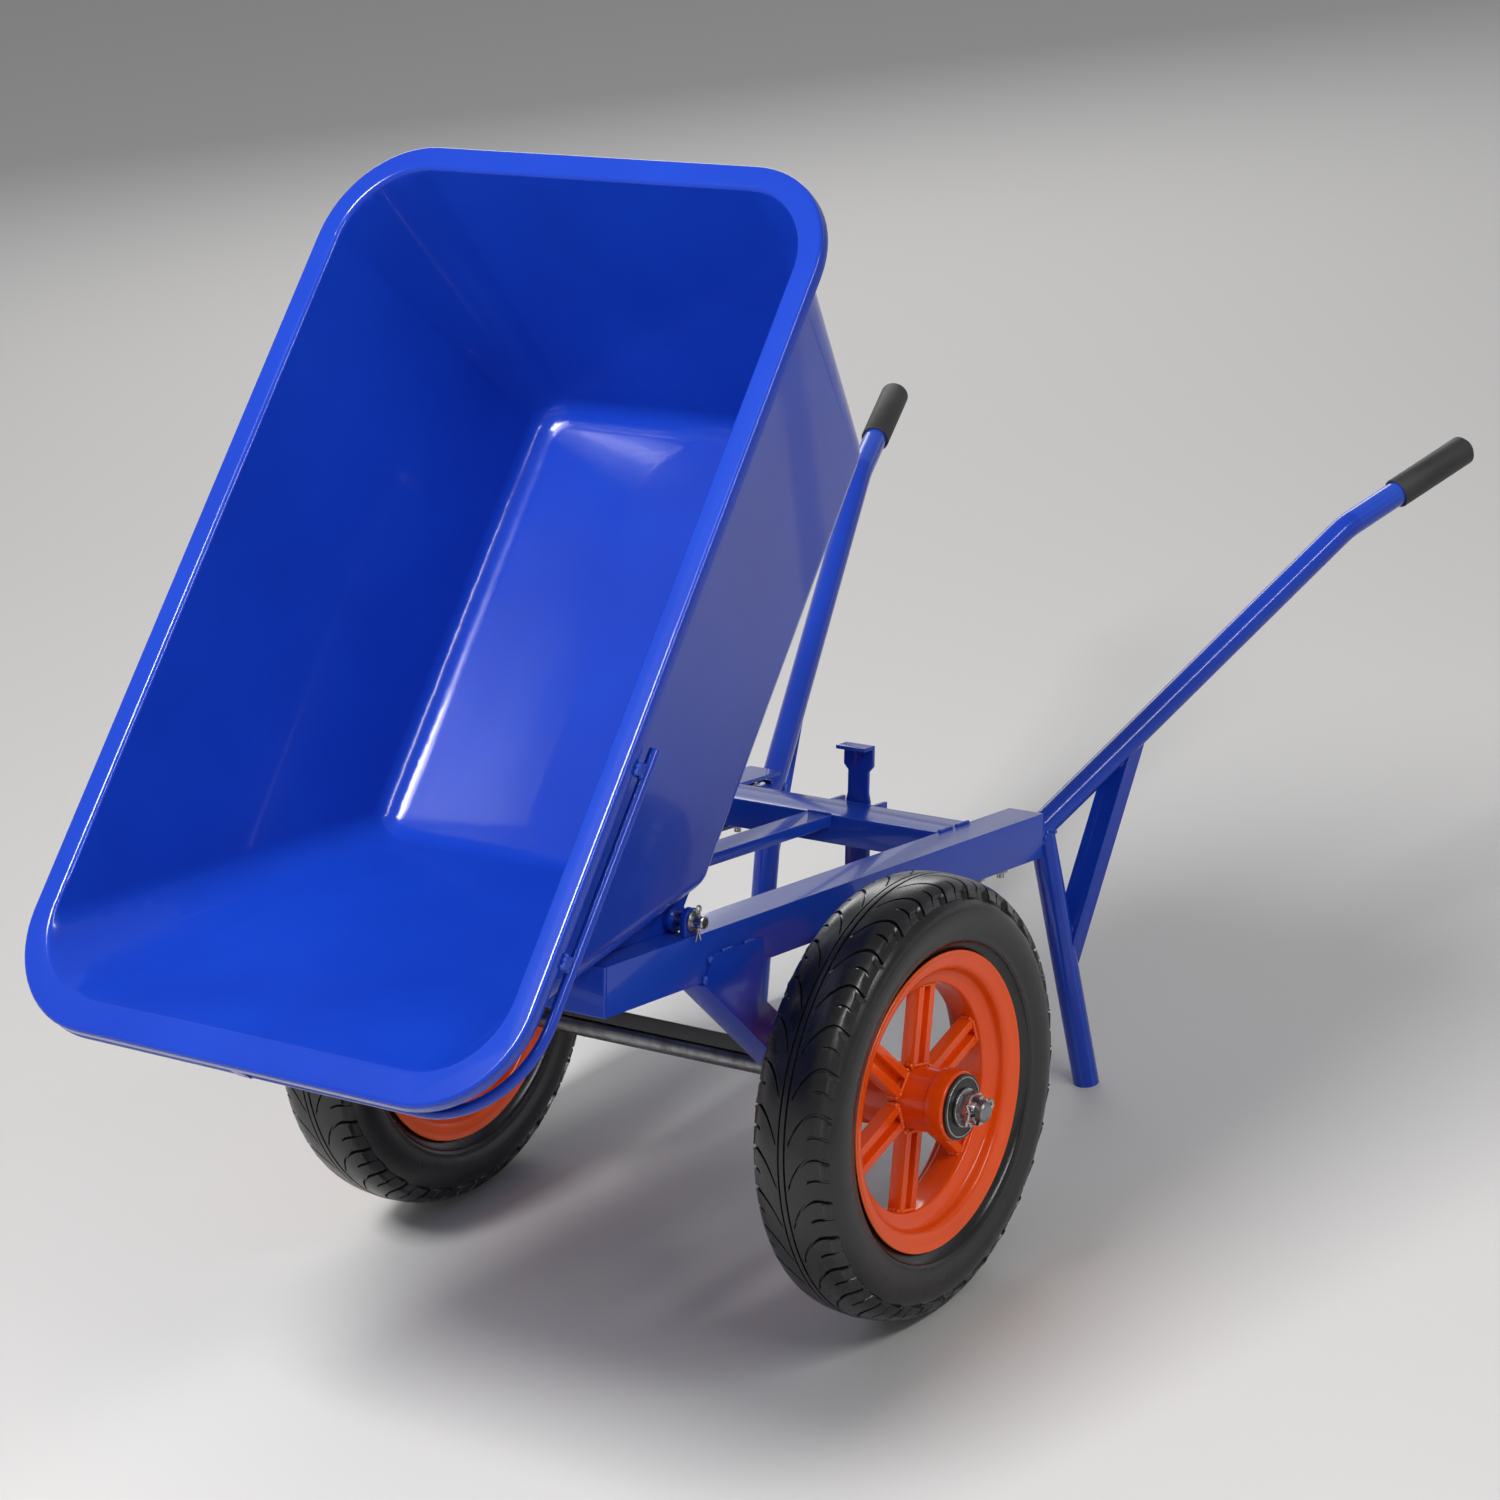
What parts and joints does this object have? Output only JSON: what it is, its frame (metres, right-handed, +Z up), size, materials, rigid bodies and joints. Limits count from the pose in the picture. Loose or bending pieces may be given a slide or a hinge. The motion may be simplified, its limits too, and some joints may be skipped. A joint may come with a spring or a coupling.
{
  "type": "tipping wheelbarrow",
  "caption": "Two-wheeled barrow with a tipping steel tray on a channel frame, pneumatic tyres, bent tube handles with grips, braced legs and a sprung tray latch.",
  "frame": {"origin": "on the ground, under the middle of the whole barrow as it stands on its wheels and legs with the tray tipped", "axes": "+X towards the handles, +Y to the right of a person between the handles looking forward along -X, +Z up"},
  "size_m": [1.639, 0.7634, 1.071],
  "materials": {
    "blue_paint": "glossy cobalt-blue paint",
    "dark_paint": "dark painted steel",
    "bare_steel": "turned bare steel",
    "zinc_steel": "bright zinc plate",
    "grip_rubber": "matt black rubber",
    "black_plastic": "black moulded plastic",
    "tyre_rubber": "black tyre rubber",
    "tube_rubber": "black butyl rubber",
    "orange_paint": "glossy orange paint",
    "valve_rubber": "black rubber-covered valve"
  },
  "bodies": {
    "frame": {"axle": "bare_steel", "axle_cotter_pins": "zinc_steel", "axle_nuts": "zinc_steel", "axle_spacers": "bare_steel", "axle_stiffener": "dark_paint", "axle_washers": "zinc_steel", "centre_beam": "blue_paint", "front_cross_member": "blue_paint", "handle_bolts": "zinc_steel", "handle_nuts": "zinc_steel", "handle_washers": "zinc_steel", "latch_bracket": "blue_paint", "latch_pin": "zinc_steel", "latch_spring": "zinc_steel", "left_axle_bracket": "blue_paint", "left_foot_plug": "black_plastic", "left_grip": "grip_rubber", "left_handle_tube": "blue_paint", "left_leg": "blue_paint", "left_leg_brace": "blue_paint", "left_pivot_lug": "blue_paint", "left_rail": "blue_paint", "pivot_cotter_pins": "zinc_steel", "pivot_rod": "zinc_steel", "pivot_washers": "zinc_steel", "rear_cross_member": "blue_paint", "right_axle_bracket": "blue_paint", "right_foot_plug": "black_plastic", "right_grip": "grip_rubber", "right_handle_tube": "blue_paint", "right_leg": "blue_paint", "right_leg_brace": "blue_paint", "right_pivot_lug": "blue_paint", "right_rail": "blue_paint"},
    "tray": {"tray_shell": "blue_paint", "lip_bar": "blue_paint", "left_hinge_arm": "blue_paint", "right_hinge_arm": "blue_paint", "tray_keeper": "blue_paint"},
    "left_wheel": {"left_tyre": "tyre_rubber", "left_inner_tube": "tube_rubber", "left_rim": "orange_paint", "left_spokes": "orange_paint", "left_hub": "orange_paint", "left_bearings": "zinc_steel", "left_hub_seals": "black_plastic", "left_valve_stem": "valve_rubber"},
    "right_wheel": {"right_tyre": "tyre_rubber", "right_inner_tube": "tube_rubber", "right_rim": "orange_paint", "right_spokes": "orange_paint", "right_hub": "orange_paint", "right_bearings": "zinc_steel", "right_hub_seals": "black_plastic", "right_valve_stem": "valve_rubber"},
    "latch": {"latch_lever": "blue_paint"}
  },
  "joints": [
    {"name": "tray_tip", "type": "hinge", "parent": "frame", "child": "tray", "pos_m": [-0.40032, 0, 0.44405], "axis": [0, 1, 0], "range_deg": [0, 55.6]},
    {"name": "left_wheel_spin", "type": "hinge", "parent": "frame", "child": "left_wheel", "pos_m": [-0.24258, -0.28, 0.21], "axis": [0, 1, 0], "continuous": true},
    {"name": "right_wheel_spin", "type": "hinge", "parent": "frame", "child": "right_wheel", "pos_m": [-0.24258, 0.28, 0.21], "axis": [0, 1, 0], "continuous": true},
    {"name": "latch_turn", "type": "hinge", "parent": "frame", "child": "latch", "pos_m": [0.12349, 0, 0.29827], "axis": [0, 1, 0], "range_deg": [0, 25], "stiffness_Nm_per_rad": 0.4, "springref_deg": -20.05}
  ]
}
